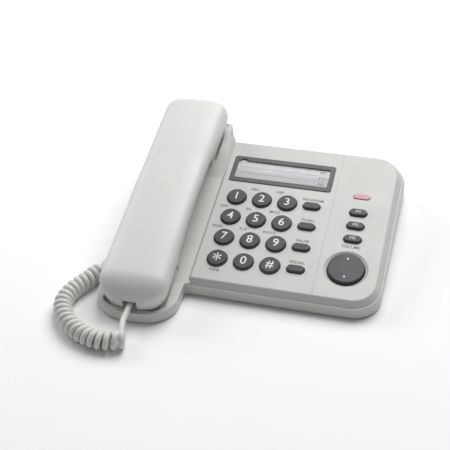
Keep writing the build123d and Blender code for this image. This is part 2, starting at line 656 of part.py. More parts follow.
with BuildPart() as line_jack:
    with Locations((LINE_JACK_X, BACK - 0.2, FLOOR_TOP)):
        Box(13.6, 13.8, 11.8, align=(Align.CENTER, Align.MAX, Align.MIN))
    with Locations((LINE_JACK_X, BACK - 0.2, FLOOR_TOP + 5.9)):
        Box(9.8, 10.0, 6.9, align=(Align.CENTER, Align.MAX, Align.CENTER), mode=Mode.SUBTRACT)
        Box(6.2, 10.0, 9.4, align=(Align.CENTER, Align.MAX, Align.CENTER), mode=Mode.SUBTRACT)
finish(line_jack, "line_jack")

with BuildPart() as ringer:
    with BuildSketch(Plane.XY.offset(FLOOR_TOP)):
        with Locations((RINGER_X, RINGER_Y)):
            Circle(RINGER_R)
    extrude(amount=8.0)
    with BuildSketch(Plane.XY.offset(FLOOR_TOP)):
        with Locations((RINGER_X, RINGER_Y)):
            Circle(RINGER_R - 1.5)
    extrude(amount=2.0, mode=Mode.SUBTRACT)
finish(ringer, "ringer")

for name, x in SWITCH_X.items():
    with BuildPart() as slide_switch:
        with Locations((x, BACK - WALL - 1.2, FLOOR_TOP)):
            Box(14.0, 6.8, 9.1, align=(Align.CENTER, Align.MAX, Align.MIN))
        with Locations((x, BACK - WALL - 1.2, SWITCH_Z)):
            Box(7.4, 2.4, 2.2, align=(Align.CENTER, Align.MAX, Align.CENTER), mode=Mode.SUBTRACT)
    finish(slide_switch, f"{name}_switch")
    with BuildPart() as slide_knob:
        with Locations((x, BACK - 0.3, SWITCH_Z)):
            Box(8.0 - 2 * SWITCH_TRAVEL, 2.8, 3.2, align=(Align.CENTER, Align.MAX, Align.CENTER))
            Box(2.4, 5.0, 1.6, align=(Align.CENTER, Align.MAX, Align.CENTER))
    finish(slide_knob, f"{name}_knob")

with BuildPart() as rubber_feet:
    with BuildSketch():
        with Locations(*FEET):
            Circle(6.0)
    extrude(amount=FOOT_H + 0.6)
    chamfer(rubber_feet.faces().filter_by(Axis.Z).group_by(Axis.Z)[0].edges(), 0.4)
finish(rubber_feet, "rubber_feet")

# =============================================================================== handset
HANDSET_SEAM = [(-60, 1.5), (-15.5, 1.5), (5, 11), (79, 11), (101, 1.5), (145, 1.5)]
GRIP_SEAM = 11.0

with BuildPart(mode=Mode.PRIVATE) as handset_shell:
    add(handset_body())
    add(handset_body(-SHELL), mode=Mode.SUBTRACT)

with BuildPart(mode=Mode.PRIVATE) as above_seam:
    with BuildSketch(along_panel(HANDSET_X - 40)):
        add(side_sketch([*HANDSET_SEAM, (145, 40), (-60, 40)]))
    extrude(amount=80)

with BuildPart() as handset_upper:
    add(handset_shell.part)
    add(above_seam.part, mode=Mode.INTERSECT)
    with BuildSketch(at_panel(w=GRIP_SEAM)):
        with Locations(*[(HANDSET_U, v) for v in HANDSET_SCREW_V]):
            Circle(3.0)
    extrude(amount=14)
    with BuildSketch(at_panel(w=GRIP_SEAM)):
        with Locations(*[(HANDSET_U, v) for v in HANDSET_SCREW_V]):
            Circle(0.95)
    extrude(amount=9, mode=Mode.SUBTRACT)
    with Locations(at_panel(HANDSET_U, HANDSET_V0 + 3, NOTCH_MID).location):
        Box(NOTCH_W, 10, NOTCH_H, mode=Mode.SUBTRACT)
finish(handset_upper, "handset_upper")

with BuildPart() as handset_lower:
    add(handset_shell.part)
    add(above_seam.part, mode=Mode.SUBTRACT)
    with BuildSketch(at_panel(w=GRIP_BOTTOM + 1)):
        with Locations(*[(HANDSET_U, v) for v in HANDSET_SCREW_V]):
            Circle(4.0)
    extrude(amount=GRIP_SEAM - GRIP_BOTTOM - 1)
    with BuildSketch(at_panel(w=GRIP_BOTTOM - 1)):
        with Locations(*[(HANDSET_U, v) for v in HANDSET_SCREW_V]):
            Circle(2.9)
    extrude(amount=3.5, mode=Mode.SUBTRACT)
    with BuildSketch(at_panel(w=GRIP_BOTTOM)):
        with Locations(*[(HANDSET_U, v) for v in HANDSET_SCREW_V]):
            Circle(1.4)
    extrude(amount=6, mode=Mode.SUBTRACT)
    # the ear's shallow bowl, and the sound holes at both ends
    with BuildSketch(at_panel(HANDSET_U, EAR_V, HEAD_BOTTOM - 1)):
        Circle(16.0)
    extrude(amount=1.8, mode=Mode.SUBTRACT)
    with BuildSketch(at_panel(HANDSET_U, EAR_V, HEAD_BOTTOM - 1)):
        Circle(1.1)
        with PolarLocations(4.5, 6):
            Circle(1.1)
        with PolarLocations(8.5, 12):
            Circle(1.1)
    extrude(amount=4, mode=Mode.SUBTRACT)
    with BuildSketch(at_panel(HANDSET_U, MOUTH_V, HEAD_BOTTOM - 1)):
        Circle(0.8)
        with PolarLocations(3.4, 6):
            Circle(0.8)
    extrude(amount=4, mode=Mode.SUBTRACT)
finish(handset_lower, "handset_lower")

with BuildPart() as handset_screws:
    with BuildSketch(at_panel(w=GRIP_BOTTOM + 0.4)):
        with Locations(*[(HANDSET_U, v) for v in HANDSET_SCREW_V]):
            Circle(2.6)
    extrude(amount=2.1)
    with BuildSketch(at_panel(w=GRIP_BOTTOM + 2.5)):
        with Locations(*[(HANDSET_U, v) for v in HANDSET_SCREW_V]):
            Circle(1.2)
    extrude(amount=9.0)
finish(handset_screws, "handset_screws")

HEAD_FLOOR = HEAD_BOTTOM + SHELL
with BuildPart() as receiver_gasket:
    with BuildSketch(at_panel(HANDSET_U, EAR_V, HEAD_FLOOR)):
        Circle(15.5)
        Circle(12.0, mode=Mode.SUBTRACT)
    extrude(amount=1.0)
finish(receiver_gasket, "receiver_gasket")

with BuildPart() as receiver:
    with BuildSketch(at_panel(HANDSET_U, EAR_V, HEAD_FLOOR + 1.0)):
        Circle(15.0)
    extrude(amount=5.0)
    with BuildSketch(at_panel(HANDSET_U, EAR_V, HEAD_FLOOR + 6.0)):
        Circle(9.0)
    extrude(amount=3.0)
finish(receiver, "receiver")

with BuildPart() as mic_boot:
    with BuildSketch(at_panel(HANDSET_U, MOUTH_V, HEAD_FLOOR)):
        Circle(6.5)
    extrude(amount=6.8)
    with BuildSketch(at_panel(HANDSET_U, MOUTH_V, HEAD_FLOOR + 0.8)):
        Circle(4.9)
    extrude(amount=8, mode=Mode.SUBTRACT)
    with BuildSketch(at_panel(HANDSET_U, MOUTH_V, HEAD_FLOOR)):
        Circle(3.0)
    extrude(amount=2, mode=Mode.SUBTRACT)
finish(mic_boot, "mic_boot")

with BuildPart() as microphone:
    with BuildSketch(at_panel(HANDSET_U, MOUTH_V, HEAD_FLOOR + 0.8)):
        Circle(4.85)
    extrude(amount=5.0)
finish(microphone, "microphone")

with BuildPart() as handset_weight:
    with BuildSketch(at_panel(HANDSET_U, sum(HANDSET_SCREW_V) / 2, GRIP_BOTTOM + SHELL)):
        Rectangle(26, 35)
    extrude(amount=6.0)
finish(handset_weight, "handset_weight")

with BuildPart() as handset_jack:
    with Locations(at_panel(HANDSET_U, JACK_FACE_V, HEAD_FLOOR).location):
        Box(12.0, 12.0, 11.6, align=(Align.CENTER, Align.MIN, Align.MIN))
    with Locations(at_panel(HANDSET_U, JACK_FACE_V, NOTCH_MID).location):
        Box(PLUG_W + 2 * SOCKET_GAP, 10.0, PLUG_H + 2 * SOCKET_GAP,
            align=(Align.CENTER, Align.MIN, Align.CENTER), mode=Mode.SUBTRACT)
finish(handset_jack, "handset_jack")

with BuildPart() as handset_plug:
    with Locations(at_panel(HANDSET_U, JACK_FACE_V + PLUG_IN, NOTCH_MID).location):
        Box(PLUG_W, PLUG_L, PLUG_H, align=(Align.CENTER, Align.MAX, Align.CENTER))
finish(handset_plug, "handset_plug")

# =============================================================================== cord
LEAD_START = PANEL.from_local_coords((HANDSET_U, JACK_FACE_V + PLUG_IN - PLUG_L, NOTCH_MID))
ROUTES = {
    "cord_lead_handset": (CORD_D, [
        LEAD_START, LEAD_START - PANEL.y_dir * 9.0, Vector(-65.9, -110.6, 12.0)]),
    "cord_coil": (COIL_D, [Vector(x, y, COIL_Z) for x, y in (
        (-62.8, -118.6), (-73.5, -124.8), (-90.0, -122.8), (-106.5, -113.2), (-117.5, -97.5),
        (-115.8, -82.0), (-106.9, -67.5), (-103.4, -54.4))]),
    "cord_lead_base": (CORD_D, [
        Vector(-103.4, -54.4, COIL_Z), Vector(-101.3, -46.8, 7.2), Vector(-96.9, -39.3, 7.7),
        Vector(JACK_FACE_X + PLUG_IN - PLUG_L, BASE_JACK_Y, BASE_JACK_Z)]),
}
for name, (diameter, points) in ROUTES.items():
    radii = []
    for before, corner, after in zip(points, points[1:], points[2:]):
        turn = (corner - before).get_angle(after - corner)
        shorter = min((corner - before).length, (after - corner).length)
        radii.append(0.45 * shorter / tan(radians(turn) / 2))
    print(name, "radii", [round(r, 1) for r in radii])
    with BuildPart() as cord:
        with BuildLine() as route:
            FilletPolyline(*points, radius=radii)
        with BuildSketch(Plane(origin=route.wires()[0] @ 0, z_dir=route.wires()[0] % 0)):
            Circle(diameter / 2)
        sweep(path=route.wires()[0])
    length = route.wires()[0].length
    section = (diameter / 2) ** 2 * 3.14159
    print(name, "length", round(length, 1), "volume ratio", round(cord.part.volume / section / length, 4))
    finish(cord, name)
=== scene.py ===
"""The look of the corded desk telephone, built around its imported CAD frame.

Places on the sloping keypad panel are given as (u, v, w) in millimetres, as in the part's source: to the
right of the star key, up the slope from it, and out of the panel's face.
"""

import json
import math

import bmesh
import bpy
import numpy as np
from mathutils import Matrix, Vector


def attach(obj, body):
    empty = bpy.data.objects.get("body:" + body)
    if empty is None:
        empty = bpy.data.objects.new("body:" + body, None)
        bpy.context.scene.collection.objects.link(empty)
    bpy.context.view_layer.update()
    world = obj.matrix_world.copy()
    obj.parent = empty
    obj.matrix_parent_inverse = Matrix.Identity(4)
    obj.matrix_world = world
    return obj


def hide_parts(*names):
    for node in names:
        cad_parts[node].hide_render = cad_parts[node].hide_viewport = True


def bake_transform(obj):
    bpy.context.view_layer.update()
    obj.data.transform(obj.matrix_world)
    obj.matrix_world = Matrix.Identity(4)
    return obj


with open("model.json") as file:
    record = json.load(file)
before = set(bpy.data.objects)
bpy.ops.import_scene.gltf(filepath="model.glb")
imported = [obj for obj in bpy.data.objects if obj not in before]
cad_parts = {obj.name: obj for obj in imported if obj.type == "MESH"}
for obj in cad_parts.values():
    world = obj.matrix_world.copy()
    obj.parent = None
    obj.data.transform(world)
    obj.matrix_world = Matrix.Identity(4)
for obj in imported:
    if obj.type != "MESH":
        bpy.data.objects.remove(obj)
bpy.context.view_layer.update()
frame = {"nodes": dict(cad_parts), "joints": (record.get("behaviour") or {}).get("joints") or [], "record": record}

MM = 0.001
NODES = frame["nodes"]
JOINTS = {joint["name"]: joint for joint in frame["joints"]}

# the panel's own directions: the handset lifts square to it
OUT = Vector(JOINTS["handset_lift"]["axis"]).normalized()
RIGHT = Vector((1, 0, 0))
UP_SLOPE = OUT.cross(RIGHT)
PANEL_ORIGIN = Vector((-20.5, -39.9, 18.0)) * MM
PANEL = Matrix.Translation(PANEL_ORIGIN) @ Matrix((RIGHT, UP_SLOPE, OUT)).transposed().to_4x4()


def on_panel(u, v, w=0.0):
    """A place in panel millimetres, as a point in the frame."""
    return PANEL @ (Vector((u, v, w)) * MM)


def millimetres(x, y, z):
    return Vector((x, y, z)) * MM


# ------------------------------------------------------------------------------------------- camera
CAMERA_TURN = (16.96, 38.78, -3.09)         # azimuth, elevation and roll in degrees
CAMERA_DISTANCE = 0.73103
CAMERA_TARGET = (-24.11, -4.93, 20.0)
LENS = 80.01                                # on a sensor 36 mm wide
SENSOR_WIDTH = 36.0


def make_camera():
    azimuth, elevation, roll = (math.radians(degrees) for degrees in CAMERA_TURN)
    back = Vector((
        math.sin(azimuth) * math.cos(elevation),
        -math.cos(azimuth) * math.cos(elevation),
        math.sin(elevation),
    ))
    level_x = Vector((0, 0, 1)).cross(back).normalized()
    level_y = back.cross(level_x)
    x = math.cos(roll) * level_x + math.sin(roll) * level_y
    y = back.cross(x)
    data = bpy.data.cameras.new("camera")
    data.sensor_width = SENSOR_WIDTH
    data.lens = LENS
    data.clip_start = 0.01
    camera = bpy.data.objects.new("camera", data)
    bpy.context.scene.collection.objects.link(camera)
    turn = Matrix((x, y, back)).transposed().to_4x4()
    camera.matrix_world = Matrix.Translation(millimetres(*CAMERA_TARGET) + back * CAMERA_DISTANCE) @ turn
    bpy.context.scene.camera = camera


# ---------------------------------------------------------------------------------------- materials
def node(tree, kind, **values):
    """A shader node with some of its settings and sockets filled in."""
    made = tree.nodes.new(kind)
    for key, value in values.items():
        if hasattr(made, key):
            setattr(made, key, value)
        else:
            made.inputs[key.replace("_", " ")].default_value = value
    return made


def grain(tree, scale, detail=2.0):
    """Noise fixed to the object, in metres."""
    where = node(tree, "ShaderNodeTexCoord")
    noise = node(tree, "ShaderNodeTexNoise", Scale=scale, Detail=detail)
    tree.links.new(where.outputs["Object"], noise.inputs["Vector"])
    return noise.outputs["Fac"]


def spread(tree, factor, low, high):
    """The factor's useful middle mapped to low ... high."""
    span = node(tree, "ShaderNodeMapRange")
    span.inputs["From Min"].default_value = 0.3
    span.inputs["From Max"].default_value = 0.7
    span.inputs["To Min"].default_value = low
    span.inputs["To Max"].default_value = high
    tree.links.new(factor, span.inputs["Value"])
    return span.outputs["Result"]


def tint(tree, factor, dark, light):
    mix = node(tree, "ShaderNodeMix", data_type="RGBA")
    mix.inputs["A"].default_value = (*dark, 1)
    mix.inputs["B"].default_value = (*light, 1)
    tree.links.new(factor, mix.inputs["Factor"])
    return mix.outputs["Result"]


def surface(name, colour, vary=0.03, rough=(0.4, 0.5), speck=2600.0, bump=0.00002, blotch=18.0, **sockets):
    """Moulded or rubbery surface: a slightly uneven colour and gloss over a fine moulded grain."""
    material = bpy.data.materials.new(name)
    material.use_nodes = True
    tree = material.node_tree
    shader = tree.nodes["Principled BSDF"]
    for key, value in sockets.items():
        shader.inputs[key.replace("_", " ")].default_value = value
    dark = [c * (1 - vary) for c in colour]
    light = [min(1.0, c * (1 + vary)) for c in colour]
    clouds = grain(tree, blotch, detail=3.0)
    tree.links.new(tint(tree, spread(tree, clouds, 0, 1), dark, light), shader.inputs["Base Color"])
    tree.links.new(spread(tree, grain(tree, blotch * 3, detail=3.0), *rough), shader.inputs["Roughness"])
    relief = node(tree, "ShaderNodeBump", Strength=0.5, Distance=bump)
    tree.links.new(grain(tree, speck, detail=3.0), relief.inputs["Height"])
    tree.links.new(relief.outputs["Normal"], shader.inputs["Normal"])
    return material


def clear_sheet(name):
    """A thin clear cover: what is under it shows straight through, with a gloss on top."""
    material = bpy.data.materials.new(name)
    material.use_nodes = True
    tree = material.node_tree
    shader = tree.nodes["Principled BSDF"]
    shader.inputs["Base Color"].default_value = (0.95, 0.96, 0.97, 1)
    shader.inputs["Alpha"].default_value = 0.04
    tree.links.new(spread(tree, grain(tree, 60.0), 0.08, 0.2), shader.inputs["Roughness"])
    return material


def make_materials():
    """One material for each slot of the frame, and those of the pieces made here."""
    return {
        "shell": surface("shell_plastic", (0.575, 0.572, 0.556), vary=0.012, rough=(0.40, 0.50)),
        "handset": surface("handset_plastic", (0.70, 0.692, 0.676), vary=0.012, rough=(0.40, 0.50)),
        "key": surface("key_plastic", (0.078, 0.078, 0.080), vary=0.08, rough=(0.38, 0.5), blotch=90.0,
                       Specular_IOR_Level=0.25),
        "rocker": surface("rocker_plastic", (0.056, 0.061, 0.068), vary=0.04, rough=(0.3, 0.38),
                          blotch=40.0, Specular_IOR_Level=0.25),
        "trim": surface("trim_plastic", (0.105, 0.105, 0.108), vary=0.05, rough=(0.38, 0.48),
                        Specular_IOR_Level=0.3),
        "lamp": surface("lamp_plastic", (0.62, 0.22, 0.24), vary=0.06, rough=(0.22, 0.3), bump=0.00001,
                        Subsurface_Weight=0.2),
        "clear": clear_sheet("clear_plastic"),
        "card": surface("card_paper", (0.93, 0.93, 0.96), vary=0.015, rough=(0.6, 0.75), speck=1500.0),
        "silicone": surface("silicone_rubber", (0.16, 0.16, 0.165), vary=0.05, rough=(0.5, 0.65)),
        "board": surface("board_lacquer", (0.03, 0.13, 0.05), vary=0.15, rough=(0.3, 0.4), blotch=40.0),
        "steel": surface("zinc_steel", (0.55, 0.56, 0.58), vary=0.06, rough=(0.28, 0.4), Metallic=1.0),
        "dark_plastic": surface("black_plastic", (0.022, 0.022, 0.024), vary=0.1, rough=(0.4, 0.5)),
        "rubber": surface("foot_rubber", (0.03, 0.03, 0.03), vary=0.1, rough=(0.6, 0.75)),
        "cord": surface("cord_jacket", (0.66, 0.655, 0.63), vary=0.03, rough=(0.36, 0.46), speck=1800.0,
                        blotch=90.0, Subsurface_Weight=0.1, Subsurface_Radius=(0.002, 0.002, 0.0015)),
        "white_print": surface("white_print", (0.80, 0.80, 0.79), vary=0.03, rough=(0.45, 0.55)),
        "grey_print": surface("grey_print", (0.07, 0.07, 0.075), vary=0.05, rough=(0.45, 0.55)),
    }


# ------------------------------------------------------------------------------------- mesh helpers
def add_piece(name, mesh, body, material, smooth=True):
    """A mesh as a piece of the object that rides on a body."""
    if smooth:
        mesh.shade_smooth()
    mesh.materials.clear()
    mesh.materials.append(material)
    piece = bpy.data.objects.new(name, mesh)
    bpy.context.scene.collection.objects.link(piece)
    if body:
        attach(piece, body)
    return piece


def mesh_from(name, points, faces):
    mesh = bpy.data.meshes.new(name)
    mesh.from_pydata([tuple(p) for p in points], [], faces)
    mesh.validate()
    return mesh


def tube(name, path, radius, sides=14):
    """A closed round tube along a list of points, its ring carried along without twist."""
    points = [Vector(p) for p in path]
    ahead = (points[1] - points[0]).normalized()
    side = ahead.orthogonal().normalized()
    rings = []
    for i, here in enumerate(points):
        before, after = points[max(i - 1, 0)], points[min(i + 1, len(points) - 1)]
        ahead = (after - before).normalized()
        side = (side - ahead * side.dot(ahead)).normalized()
        other = ahead.cross(side)
        rings.append([
            here + radius * (math.cos(a) * side + math.sin(a) * other)
            for a in (2 * math.pi * k / sides for k in range(sides))
        ])
    faces = []
    for i in range(len(rings) - 1):
        for k in range(sides):
            a, b = i * sides + k, i * sides + (k + 1) % sides
            faces.append((a, b, b + sides, a + sides))
    faces.append(tuple(reversed(range(sides))))
    last = (len(rings) - 1) * sides
    faces.append(tuple(range(last, last + sides)))
    return mesh_from(name, [p for ring in rings for p in ring], faces)


HANDSET_U = -47.0           # the handset's middle line
HANDSET_V = (-54.5, 138.6)  # its mouth end and its ear end


# --------------------------------------------------------------------------------------------- cord
CORD_D = 4.2
COIL_RADIUS = 4.6           # of the cord's own centre line round the coil's axis
COIL_Z = 6.8
COIL_TURNS = 23
TURN_STEPS = 36             # places along each turn
LEAD_STEPS = 40             # places along the lead into the base
UNWIND_TURNS = 1.3          # the last turns over which the coil closes down to the lead
CORD_W = 6.3                # height of the handset's cord hole above the panel
LEAD_BEND = 9               # how far out the control points at the lead's two ends stand
# the coil's axis and the lead behind it, into the socket in the base
COIL_ROUTE = [
    (-62.8, -118.6, COIL_Z), (-73.5, -124.8, COIL_Z), (-90.0, -122.8, COIL_Z), (-106.5, -113.2, COIL_Z),
    (-117.5, -97.5, COIL_Z), (-115.8, -82.0, COIL_Z), (-106.9, -67.5, COIL_Z), (-103.4, -54.4, COIL_Z),
    (-101.3, -46.8, 7.2), (-96.9, -39.3, 7.7), (-89.3, -37.3, 7.9),
]
COIL_END = COIL_ROUTE[7]    # the coil closes down to the lead here
COIL_LEAD_IN = 2.0          # the first turn starts this far along the axis
LOOSE_LOOP = 3.6            # how far the first turn's back strand is pulled out
LOOSE_WAY = (0.956, 0.292, 0.0)


def smooth_line(name, route, resolution):
    """Points along the NURBS curve through a route's control points, in metres."""
    curve = bpy.data.curves.new(name, "CURVE")
    curve.dimensions = "3D"
    curve.resolution_u = resolution
    spline = curve.splines.new("NURBS")
    spline.points.add(len(route) - 1)
    for point, place in zip(spline.points, route):
        point.co = (*place, 1)
    spline.order_u = 3
    spline.use_endpoint_u = True
    holder = bpy.data.objects.new(name, curve)
    mesh = bpy.data.meshes.new_from_object(holder)
    line = [vertex.co.copy() for vertex in mesh.vertices]
    bpy.data.objects.remove(holder)
    bpy.data.curves.remove(curve)
    bpy.data.meshes.remove(mesh)
    if (line[0] - Vector(route[0])).length > (line[-1] - Vector(route[0])).length:
        line.reverse()
    return np.array(line)


def at_lengths(line, lengths):
    """Places on a line at the given distances along it."""
    run = np.concatenate([[0], np.cumsum(np.linalg.norm(np.diff(line, axis=0), axis=1))])
    return np.array([[np.interp(s, run, line[:, axis]) for axis in range(3)] for s in lengths])


def cord_path():
    """The whole cord's centre line: lead out of the handset, coil, lead into the base."""
    axis = smooth_line("coil_axis", [millimetres(*p) for p in COIL_ROUTE], 48)
    run = np.concatenate([[0], np.cumsum(np.linalg.norm(np.diff(axis, axis=0), axis=1))])
    first = COIL_LEAD_IN * MM
    coil_length = run[np.argmin(np.linalg.norm(axis - np.array(millimetres(*COIL_END)), axis=1))]
    pitch = (coil_length - first) / COIL_TURNS
    unwind = UNWIND_TURNS * pitch
    lengths = list(np.arange(first, coil_length, pitch / TURN_STEPS))
    lengths += list(np.linspace(coil_length, run[-1], LEAD_STEPS))
    places = at_lengths(axis, lengths)
    ahead = np.gradient(places, axis=0)
    ahead /= np.linalg.norm(ahead, axis=1)[:, None]
    up = np.array((0, 0, 1.0)) - ahead * ahead[:, 2:3]
    up /= np.linalg.norm(up, axis=1)[:, None]
    side = np.cross(up, ahead)
    left = np.clip((coil_length - np.array(lengths)) / unwind, 0, 1)
    radius = COIL_RADIUS * MM * left * left * (3 - 2 * left)
    phase = 2 * np.pi * (np.array(lengths) - first) / pitch
    helix = places + radius[:, None] * (np.cos(phase)[:, None] * up + np.sin(phase)[:, None] * side)
    pulled = np.clip(phase - np.pi / 2, 0, 2 * np.pi)
    helix += LOOSE_LOOP * MM * ((1 - np.cos(pulled)) / 2)[:, None] * np.array(LOOSE_WAY)
    # the lead from the handset runs straight into the first turn
    start = Vector(helix[0])
    heading = Vector(helix[2] - helix[0]).normalized()
    plug_end = on_panel(HANDSET_U, -49.0, CORD_W)
    lead = smooth_line("handset_lead", [
        plug_end, plug_end - UP_SLOPE * LEAD_BEND * MM, start - heading * LEAD_BEND * MM, start], 16)
    return np.concatenate([lead[:-1], helix])


def make_cord(materials):
    path = cord_path()
    mesh = tube("handset_cord", path, CORD_D / 2 * MM)
    cord = add_piece("handset_cord", mesh, None, materials["cord"])
    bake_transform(cord)
    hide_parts("cord_lead_handset", "cord_coil", "cord_lead_base")


# ------------------------------------------------------------------------------------------ handset
# heights over the panel along the handset, as (v, w) corners
SEAM = ((-60, 1.5), (-15.5, 1.5), (5, 11), (79, 11), (101, 1.5), (145, 1.5))
UNDERSIDE = ((-54.5, -2.5), (-13, -2.5), (7, 7), (81, 7), (90, -2.5), (138.6, -2.5))
CROWN = ((-54.5, 21.4), (-37, 23.4), (0, 25.4), (45, 26.6), (90, 26.6), (138.6, 25.6))
WIDEST = ((-54.5, 11.0), (-20, 13.5), (40, 17.0), (100, 15.0), (138.6, 12.0))


def profile(table, v, soften=0.0):
    """A value along the handset from its corner points, with the corners rounded off."""
    places, values = zip(*table)
    if not soften:
        return float(np.interp(v, places, values))
    offsets = np.linspace(-2, 2, 17) * soften
    weights = np.exp(-0.5 * (offsets / soften) ** 2)
    return float((np.interp(v + offsets, places, values) * weights).sum() / weights.sum())


def bullnose(distance, reach, fullness):
    """Rises from 0 at an end to 1 at reach, like the side of a rounded corner."""
    if distance >= reach:
        return 1.0
    return (1 - (1 - max(distance, 0) / reach) ** fullness) ** (1 / fullness)


def handset_station(v):
    """What shapes the handset's cross-section at v."""
    v0, v1 = HANDSET_V
    from_mouth, from_ear = v - v0, v1 - v
    middle = (v0 + v1) / 2
    half = 25.0 - 1.4 * (1 - ((v - middle) / (v1 - middle)) ** 2)
    half *= min(bullnose(from_mouth, 18.0, 2.6), bullnose(from_ear, 18.0, 2.6))
    crown = profile(CROWN, v, 6.0)
    floor = profile(UNDERSIDE, v, 1.5)
    nose = 6.0 if from_mouth < from_ear else 9.0
    top_round = min(bullnose(from_mouth, 17.0, 2.0), bullnose(from_ear, 13.0, 2.0))
    floor_round = min(bullnose(from_mouth, 5.0, 2.0), bullnose(from_ear, 5.0, 2.0))
    return {
        "half": half,
        "top": nose + (crown - nose) * top_round,
        "floor": nose + (floor - nose) * floor_round,
        "widest": nose + (profile(WIDEST, v, 6.0) - nose) * top_round,
        "lean": 0.83 + 0.03 * math.sin(math.pi * from_mouth / (v1 - v0)),
        "seam": profile(SEAM, v),
    }


def upper_quarter(s, angle, fullness=3.5):
    """A point from the widest place (angle 0) to the crown (90 degrees)."""
    c, h = abs(math.cos(angle)) ** (2 / fullness), abs(math.sin(angle)) ** (2 / fullness)
    return (s["half"] * c, s["widest"] + (s["top"] - s["widest"]) * h)


def lower_quarter(s, angle, fullness=7.0):
    """A point from the widest place (angle 0) to the middle of the underside (90 degrees)."""
    c, h = abs(math.cos(angle)) ** (2 / fullness), abs(math.sin(angle)) ** (2 / fullness)
    width = s["half"] * (1 - (1 - s["lean"]) * h)
    return (width * c, s["widest"] - (s["widest"] - s["floor"]) * h)


def angle_at_height(s, w, fullness=7.0):
    """Where on the lower quarter the surface passes the height w."""
    share = (s["widest"] - w) / max(s["widest"] - s["floor"], 1e-6)
    share = min(max(share, 0.0), 1.0)
    return math.asin(min(1.0, share ** (fullness / 2)))


ROUND_STEPS = 22
LOW_STEPS = 12
STATIONS = 150
SEAM_GAP = 0.12             # each shell keeps this far from the seam
SHARP_EDGE = 38             # edges that turn more than this many degrees stay sharp
EAR_V, MOUTH_V = 117.0, -24.0
SCREW_V = (15.0, 69.0)


def shell_mesh(name, stations, ring_of):
    """A closed skin through the rings of the stations, with a small cap on each end."""
    rings = [ring_of(v) for v in stations]
    count = len(rings[0])
    points = [on_panel(HANDSET_U + u, v, w) for v, ring in zip(stations, rings) for u, w in ring]
    faces = []
    for i in range(len(rings) - 1):
        for k in range(count):
            a, b = i * count + k, i * count + (k + 1) % count
            faces.append((a, b, b + count, a + count))
    faces.append(tuple(reversed(range(count))))
    last = (len(rings) - 1) * count
    faces.append(tuple(range(last, last + count)))
    return mesh_from(name, points, faces)


def upper_ring(v):
    s = handset_station(v)
    seam = max(s["seam"] + SEAM_GAP, s["floor"] + 1e-3)
    seam_angle = angle_at_height(s, seam)
    right = [lower_quarter(s, seam_angle * (1 - k / LOW_STEPS)) for k in range(LOW_STEPS)]
    right += [upper_quarter(s, math.pi / 2 * (k / ROUND_STEPS)) for k in range(ROUND_STEPS + 1)]
    left = [(-u, w) for u, w in reversed(right[:-1])]
    return right + left


def lower_ring(v):
    s = handset_station(v)
    seam = s["seam"] - SEAM_GAP
    seam_angle = angle_at_height(s, seam)
    span = math.pi / 2 - seam_angle
    right = [lower_quarter(s, seam_angle + span * (k / LOW_STEPS)) for k in range(LOW_STEPS + 1)]
    left = [(-u, w) for u, w in reversed(right[:-1])]
    return right + left


def spaced(v0, v1, count):
    """Stations that crowd together towards both ends."""
    return [(v0 + v1) / 2 - (v1 - v0) / 2 * math.cos(math.pi * k / count) for k in range(count + 1)]


def cut(piece, cutters):
    """Takes closed meshes out of a piece, for good."""
    bm = bmesh.new()
    for cutter in cutters:
        bm.from_mesh(cutter)
        bpy.data.meshes.remove(cutter)
    joined = bpy.data.meshes.new("cutter")
    bm.to_mesh(joined)
    bm.free()
    tool = bpy.data.objects.new("cutter", joined)
    bpy.context.scene.collection.objects.link(tool)
    modifier = piece.modifiers.new("cut", "BOOLEAN")
    modifier.operation = "DIFFERENCE"
    modifier.solver = "EXACT"
    modifier.object = tool
    bpy.context.view_layer.update()
    result = bpy.data.meshes.new_from_object(piece.evaluated_get(bpy.context.evaluated_depsgraph_get()))
    piece.modifiers.clear()
    piece.data = result
    bpy.data.objects.remove(tool)
    result.set_sharp_from_angle(angle=math.radians(SHARP_EDGE))


def drum(u, v, w0, w1, radius, sides=28):
    """A round cutter square to the panel."""
    low = [on_panel(u + radius * math.cos(a), v + radius * math.sin(a), w0)
           for a in (2 * math.pi * k / sides for k in range(sides))]
    high = [p + OUT * (w1 - w0) * MM for p in low]
    faces = [(k, (k + 1) % sides, (k + 1) % sides + sides, k + sides) for k in range(sides)]
    faces.append(tuple(reversed(range(sides))))
    faces.append(tuple(range(sides, 2 * sides)))
    return mesh_from("drum", low + high, faces)


def block(u, v, w, size_u, size_v, size_w):
    """A square cutter in panel directions about its middle."""
    signs = [(a, b, c) for a in (-1, 1) for b in (-1, 1) for c in (-1, 1)]
    points = [on_panel(u + a * size_u / 2, v + b * size_v / 2, w + c * size_w / 2) for a, b, c in signs]
    faces = [(0, 1, 3, 2), (4, 6, 7, 5), (0, 4, 5, 1), (2, 3, 7, 6), (0, 2, 6, 4), (1, 5, 7, 3)]
    return mesh_from("block", points, faces)


def rosette(u, v, rings, radius, w0, w1):
    """Sound holes: one in the middle and rings of (distance, count) round it."""
    holes = [drum(u, v, w0, w1, radius, 12)]
    for distance, count in rings:
        for k in range(count):
            a = 2 * math.pi * k / count
            holes.append(drum(u + distance * math.cos(a), v + distance * math.sin(a), w0, w1, radius, 12))
    return holes


